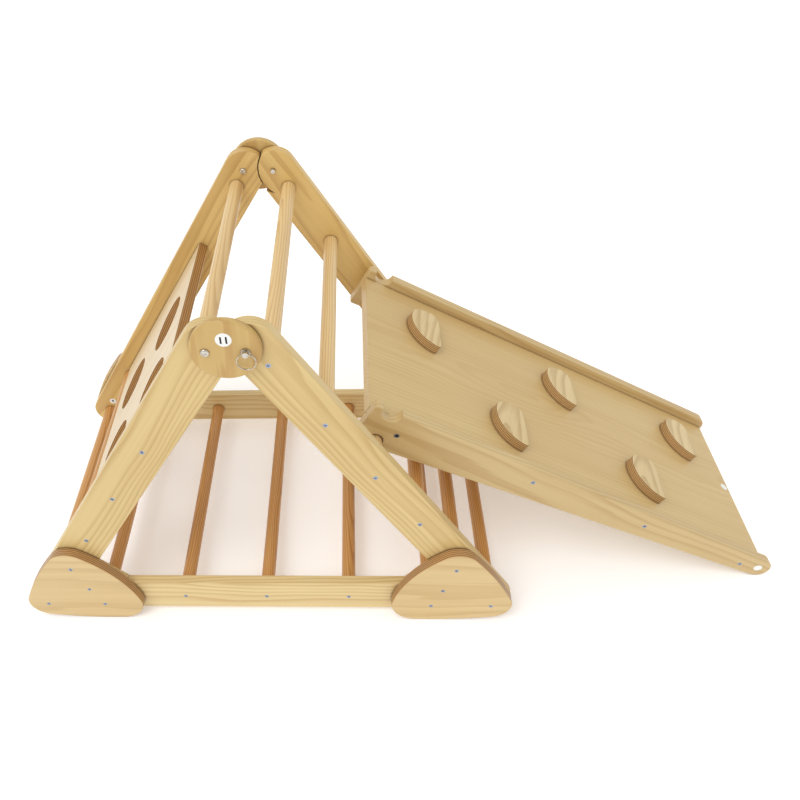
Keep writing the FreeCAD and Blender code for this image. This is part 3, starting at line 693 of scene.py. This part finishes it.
@dataclass
class Hardware:
    """Pins, bolts, bushings, screws and the split rings."""

    ring_radius: float = 13.0 * MM
    wire_radius: float = 0.75 * MM
    turns: int = 2
    steps_per_turn: int = 64
    wire_sides: int = 12

    def dress(self) -> None:
        """Puts nickel on the apex fittings and zinc on the screws and bushings."""
        nickel = NICKEL.material()
        zinc = ZINC.material()
        for side in ("near", "far"):
            for fitting in ("apex_bolt", "bolt_cap", "pull_pin"):
                dress(f"{side}_{fitting}", nickel)
            dress(f"{side}_ramp_bushing", zinc)
            self.build_ring(side, nickel)
        for place in ("side_board", "gusset", "foot_block", "ramp", "hold"):
            dress(f"{place}_screws", zinc)

    def build_ring(self, side: str, material: bpy.types.Material) -> None:
        """Coils a split ring of two turns in place of the plain one.

        Args:
            side: near or far.
            material: the ring's finish.
        """
        node = f"{side}_pull_ring"
        centre = middle(node)
        mesh = bmesh.new()
        section = bmesh.ops.create_circle(mesh, segments=self.wire_sides, radius=self.wire_radius)["verts"]
        start = Matrix.Translation((centre.x + self.ring_radius, centre.y - self.wire_radius, centre.z))
        bmesh.ops.transform(mesh, matrix=start, verts=section)
        steps = self.turns * self.steps_per_turn
        rise = 2 * self.wire_radius * (self.turns - 1) / steps
        bmesh.ops.spin(mesh, geom=list(mesh.edges) + list(mesh.verts), cent=centre, axis=(0, 1, 0),
                       dvec=(0, rise, 0), angle=2 * math.pi * self.turns, steps=steps,
                       use_merge=False, use_duplicate=False)
        bmesh.ops.remove_doubles(mesh, verts=mesh.verts, dist=WELD)
        bmesh.ops.holes_fill(mesh, edges=[edge for edge in mesh.edges if edge.is_boundary], sides=0)
        ring = finish_piece(mesh, f"{side}_split_ring", node, material)
        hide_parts(node)


@dataclass
class Labels:
    """Round number labels and the digits printed on them."""

    lift: float = 0.05 * MM
    ink_depth: float = 0.06 * MM
    stroke: float = 0.5 * MM
    cheek_digits: float = 15.0 * MM
    leg_digits: float = 9.0 * MM

    def dress(self) -> None:
        """Puts paper on the labels and prints their numbers."""
        paper = PAPER.material()
        for node in ("apex_label", "leg_label", "ramp_labels"):
            dress(node, paper)
        facing_near = Matrix.Rotation(math.radians(90), 4, "X")
        upside_down = Matrix.Rotation(math.pi, 4, "Y") @ facing_near
        self.print_number("apex_number", "11", self.face("apex_label"), upside_down, self.cheek_digits)
        self.print_number("leg_number", "9", self.face("leg_label"), facing_near, self.leg_digits)

    @staticmethod
    def face(label: str) -> Vector:
        """Middle of a label's near face."""
        low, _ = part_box(label)
        centre = middle(label)
        return Vector((centre.x, low[1], centre.z))

    def print_number(self, name: str, digits: str, place: Vector, turn: Matrix,
                     height: float) -> None:
        """Prints digits flat on a label of the triangle.

        Args:
            name: the piece's name.
            digits: the number.
            place: middle of the label's face.
            turn: rotation of the flat text.
            height: height of the digits.
        """
        text = bpy.data.curves.new(name, "FONT")
        text.body = digits
        text.size = height
        text.align_x = "CENTER"
        text.align_y = "CENTER"
        text.extrude = self.ink_depth / 2
        text.offset = self.stroke
        carrier = bpy.data.objects.new(f"{name}_text", text)
        bpy.context.scene.collection.objects.link(carrier)
        bpy.context.view_layer.update()
        flat = bpy.data.meshes.new_from_object(carrier)
        bpy.data.objects.remove(carrier)
        mesh = bmesh.new()
        mesh.from_mesh(flat)
        bpy.data.meshes.remove(flat)
        bmesh.ops.remove_doubles(mesh, verts=mesh.verts, dist=WELD)
        bmesh.ops.transform(mesh, matrix=turn, verts=mesh.verts)
        outwards = (turn.to_3x3() @ Vector((0, 0, 1))) * self.lift
        bmesh.ops.translate(mesh, vec=place + outwards, verts=mesh.verts)
        finish_piece(mesh, name, "frame", INK.material())


@dataclass
class Studio:
    """Plain pale floor, soft light and the camera."""

    place: Vector = field(default_factory=lambda: Vector((-0.07885, -1.0551, 1.2843)))
    pitch: float = 0.7345
    yaw: float = -0.0842
    roll: float = -0.068
    lens: float = 35.12
    sensor: float = 36.0
    shift: tuple[float, float] = (0.117, -0.0167)
    view_depth: float = 50.0
    floor_size: float = 9.0
    floor_paint: float = 0.95
    floor_glow: float = 0.22
    room_light: float = 0.8
    key_light: float = 1.0
    key_softness: float = 35.0
    key_tilt: tuple[float, float] = (24.0, -22.0)

    def build_camera(self) -> None:
        """Sets the camera at its viewing angle."""
        forward = Vector((math.cos(self.pitch) * math.sin(self.yaw),
                          math.cos(self.pitch) * math.cos(self.yaw), -math.sin(self.pitch)))
        level = Vector((math.cos(self.yaw), -math.sin(self.yaw), 0.0))
        above = level.cross(forward)
        right = math.cos(self.roll) * level + math.sin(self.roll) * above
        up = -math.sin(self.roll) * level + math.cos(self.roll) * above
        data = bpy.data.cameras.new("camera")
        data.lens = self.lens
        data.sensor_width = self.sensor
        data.shift_x, data.shift_y = self.shift
        data.clip_end = self.view_depth
        camera = bpy.data.objects.new("camera", data)
        turn = Matrix((right, up, -forward)).transposed().to_4x4()
        camera.matrix_world = Matrix.Translation(self.place) @ turn
        bpy.context.scene.collection.objects.link(camera)
        bpy.context.scene.camera = camera

    def build_floor(self) -> None:
        """Lays the pale floor."""
        mesh = bmesh.new()
        bmesh.ops.create_grid(mesh, x_segments=1, y_segments=1, size=self.floor_size)
        data = bpy.data.meshes.new("floor")
        mesh.to_mesh(data)
        mesh.free()
        paint = bpy.data.materials.new("floor_paint")
        paint.use_nodes = True
        shader = paint.node_tree.nodes["Principled BSDF"]
        shader.inputs["Base Color"].default_value = (*[self.floor_paint] * 3, 1.0)
        shader.inputs["Roughness"].default_value = 0.9
        shader.inputs["Emission Color"].default_value = (1.0, 1.0, 1.0, 1.0)
        shader.inputs["Emission Strength"].default_value = self.floor_glow
        data.materials.append(paint)
        floor = bpy.data.objects.new("floor", data)
        bpy.context.scene.collection.objects.link(floor)

    def build_light(self) -> None:
        """Hangs one wide soft light over a bright white room."""
        world = bpy.data.worlds.new("white_room")
        world.use_nodes = True
        backdrop = world.node_tree.nodes["Background"]
        backdrop.inputs["Color"].default_value = (1.0, 1.0, 1.0, 1.0)
        backdrop.inputs["Strength"].default_value = self.room_light
        bpy.context.scene.world = world
        key = bpy.data.lights.new("key", "SUN")
        key.energy = self.key_light
        key.angle = math.radians(self.key_softness)
        lamp = bpy.data.objects.new("key", key)
        lamp.rotation_euler = (*map(math.radians, self.key_tilt), 0.0)
        bpy.context.scene.collection.objects.link(lamp)
        bpy.context.scene.view_settings.view_transform = "Standard"

    def build(self) -> None:
        """Builds the whole studio."""
        self.build_camera()
        self.build_floor()
        self.build_light()


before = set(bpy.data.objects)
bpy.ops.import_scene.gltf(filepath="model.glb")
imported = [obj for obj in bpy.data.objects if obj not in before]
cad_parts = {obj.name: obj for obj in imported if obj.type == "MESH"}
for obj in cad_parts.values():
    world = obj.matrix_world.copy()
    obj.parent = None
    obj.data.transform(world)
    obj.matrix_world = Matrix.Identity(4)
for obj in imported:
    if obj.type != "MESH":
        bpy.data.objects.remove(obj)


def main() -> None:
    """Builds the scene in order."""
    logging.basicConfig(level=logging.INFO, format="%(name)s: %(message)s")
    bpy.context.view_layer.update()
    EFFECTS.build()
    Studio().build()
    for assembly in (Triangle(), Rungs(), ClimbingPanel(), Ramp(), Hardware(), Labels()):
        LOG.info("assembly %s", type(assembly).__name__)
        assembly.dress()


if __name__ == "__main__":
    main()
